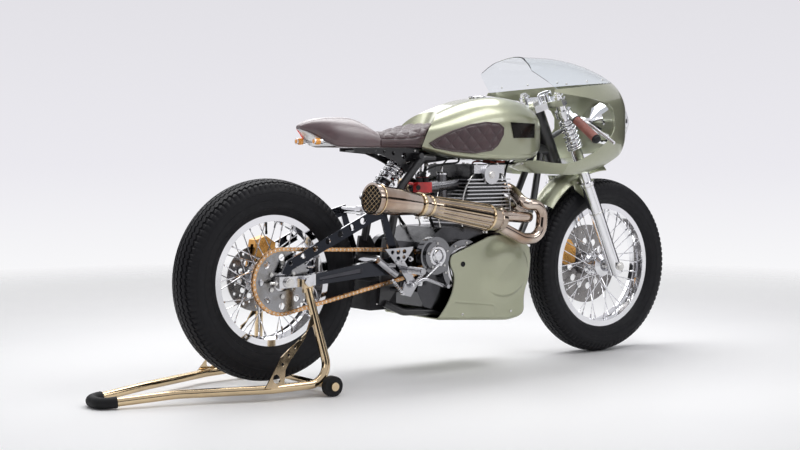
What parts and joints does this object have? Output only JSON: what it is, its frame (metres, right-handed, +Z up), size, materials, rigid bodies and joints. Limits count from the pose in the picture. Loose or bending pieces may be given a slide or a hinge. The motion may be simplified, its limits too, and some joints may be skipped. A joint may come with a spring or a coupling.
{
  "type": "cafe racer motorcycle on a paddock stand",
  "caption": "Cafe racer motorcycle with a half fairing, low bars and a high side exhaust, held at the rear by a tube paddock stand.",
  "frame": {"origin": "on the floor, midway along the whole length and on the machine's middle plane", "axes": "+X forward, +Y to the machine's left, +Z up"},
  "size_m": [2.496, 0.5928, 1.142],
  "materials": {
    "green_paint": "metallic gloss",
    "black_paint": "satin",
    "polished_aluminium": "polished",
    "dark_metal": "satin",
    "cast_aluminium": "cast",
    "chrome": "polished",
    "gold_plate": "pale gold plate",
    "exhaust_plate": "warm nickel plate",
    "leather": "smooth",
    "tyre": "matt",
    "rubber": "matt",
    "grip_leather": "ribbed",
    "clear_screen": "clear",
    "lamp_glass": "clear",
    "amber": "gloss",
    "red_plastic": "gloss",
    "chain_steel": "oiled",
    "disc_steel": "brushed",
    "caliper_gold": "anodised",
    "lead_rubber": "matt",
    "matt_plastic": "matt"
  },
  "bodies": {
    "chassis": {"main_frame": "black_paint", "frame_cradle": "black_paint", "seat_rails": "black_paint", "seat_pad": "leather", "seat_tail": "leather", "tail_lamps": "amber", "fuel_tank": "green_paint", "knee_pads": "leather", "tank_trim": "chrome", "ignition_leads": "lead_rubber", "engine_cases": "dark_metal", "engine_covers": "polished_aluminium", "engine_cylinders": "cast_aluminium", "engine_head": "dark_metal", "carburettors": "cast_aluminium", "coil_pack": "red_plastic", "exhaust_headers": "exhaust_plate", "heat_shield": "exhaust_plate", "muffler": "exhaust_plate", "belly_pan": "green_paint", "rearsets": "polished_aluminium", "battery_tray": "matt_plastic", "swingarm": "polished_aluminium", "monoshock": "chrome", "shock_spring": "chrome", "rear_axle": "disc_steel", "rear_caliper": "caliper_gold", "drive_chain": "chain_steel", "fairing": "green_paint", "windscreen": "clear_screen", "headlamp": "chrome", "headlamp_lens": "lamp_glass", "stand_frame": "gold_plate", "stand_grip": "rubber"},
    "steering": {"fork_yokes": "polished_aluminium", "fork_legs": "polished_aluminium", "fork_springs": "chrome", "clip_ons": "polished_aluminium", "grips": "grip_leather", "instruments": "dark_metal", "front_fender": "green_paint", "front_caliper": "caliper_gold", "front_axle": "disc_steel"},
    "front_wheel": {"front_tyre": "tyre", "front_rim": "chrome", "front_spokes": "chrome", "front_hub": "polished_aluminium", "front_disc": "disc_steel"},
    "rear_wheel": {"rear_tyre": "tyre", "rear_rim": "chrome", "rear_spokes": "chrome", "rear_hub": "polished_aluminium", "rear_disc": "disc_steel", "rear_sprocket": "disc_steel"},
    "side_stand": {"side_stand": "black_paint"},
    "stand_rollers": {"stand_rollers": "rubber"}
  },
  "joints": [
    {"name": "steer", "type": "hinge", "parent": "chassis", "child": "steering", "pos_m": [0.67766, 0, 0.73193], "axis": [-0.4179, 0, 0.9085], "range_deg": [-20, 20]},
    {"name": "front_wheel_spin", "type": "hinge", "parent": "steering", "child": "front_wheel", "pos_m": [0.907, 0, 0.341], "axis": [0, 1, 0], "continuous": true},
    {"name": "rear_wheel_spin", "type": "hinge", "parent": "chassis", "child": "rear_wheel", "pos_m": [-0.614, 0, 0.362], "axis": [0, 1, 0], "continuous": true},
    {"name": "side_stand_fold", "type": "hinge", "parent": "chassis", "child": "side_stand", "pos_m": [-0.054, 0.158, 0.236], "axis": [0, 1, 0], "range_deg": [-105, 0]},
    {"name": "stand_roller_spin", "type": "hinge", "parent": "chassis", "child": "stand_rollers", "pos_m": [-0.528, 0, 0.033], "axis": [0, 1, 0], "continuous": true}
  ]
}
